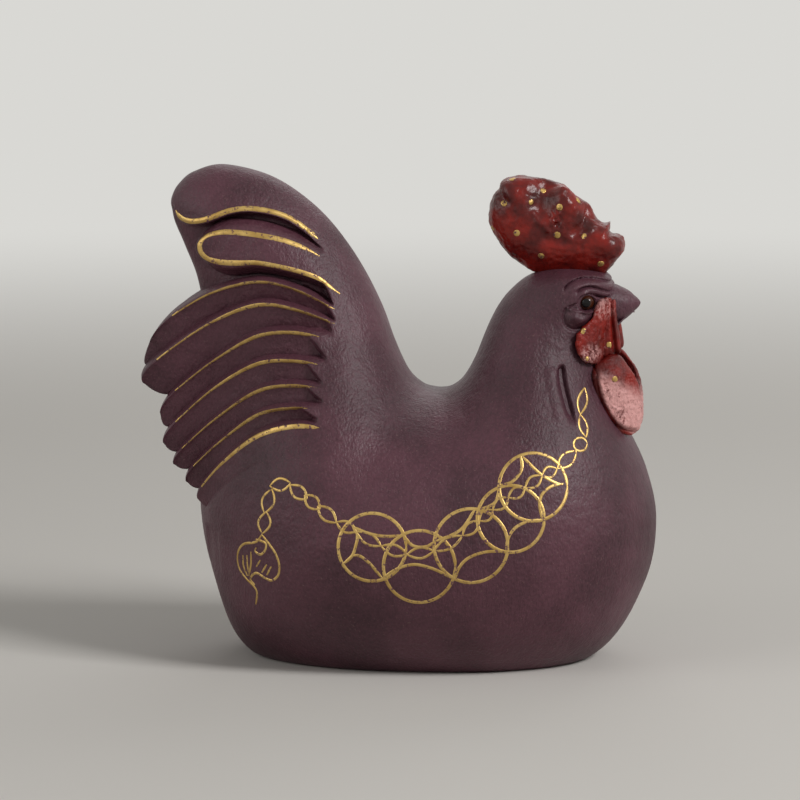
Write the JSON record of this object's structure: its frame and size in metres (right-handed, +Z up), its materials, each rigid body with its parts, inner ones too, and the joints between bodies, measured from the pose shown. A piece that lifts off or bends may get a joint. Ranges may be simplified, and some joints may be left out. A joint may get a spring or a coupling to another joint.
{
  "type": "clay rooster tea pet",
  "caption": "Hollow fired-clay rooster figure for a tea tray, with an upswept feathered tail, a folded red comb and hanging wattles.",
  "frame": {"origin": "On the ground under the figure, at the middle of its length and width", "axes": "+X from the tail towards the beak, +Y towards the bird's left side, +Z up"},
  "size_m": [0.1038, 0.068, 0.0985],
  "materials": {
    "clay": "satin burnished purple clay",
    "red_glaze": "glossy dark red glaze",
    "eye_glaze": "glossy black glaze"
  },
  "bodies": {
    "root": {"foot_plate": "clay", "upper_beak": "clay", "lower_beak": "clay", "right_body_half": "clay", "right_brow_fold": "clay", "right_upper_eyelid": "clay", "right_eye_pouch": "clay", "right_tail_plume": "clay", "right_tail_feather_1": "clay", "right_tail_feather_2": "clay", "right_tail_feather_3": "clay", "right_tail_feather_4": "clay", "right_tail_feather_5": "clay", "right_tail_feather_6": "clay", "right_tail_feather_7": "clay", "left_body_half": "clay", "left_brow_fold": "clay", "left_upper_eyelid": "clay", "left_eye_pouch": "clay", "left_tail_plume": "clay", "left_tail_feather_1": "clay", "left_tail_feather_2": "clay", "left_tail_feather_3": "clay", "left_tail_feather_4": "clay", "left_tail_feather_5": "clay", "left_tail_feather_6": "clay", "left_tail_feather_7": "clay", "comb": "red_glaze", "right_lappet": "red_glaze", "right_wattle": "red_glaze", "left_lappet": "red_glaze", "left_wattle": "red_glaze", "right_eye": "eye_glaze", "left_eye": "eye_glaze"}
  },
  "joints": []
}
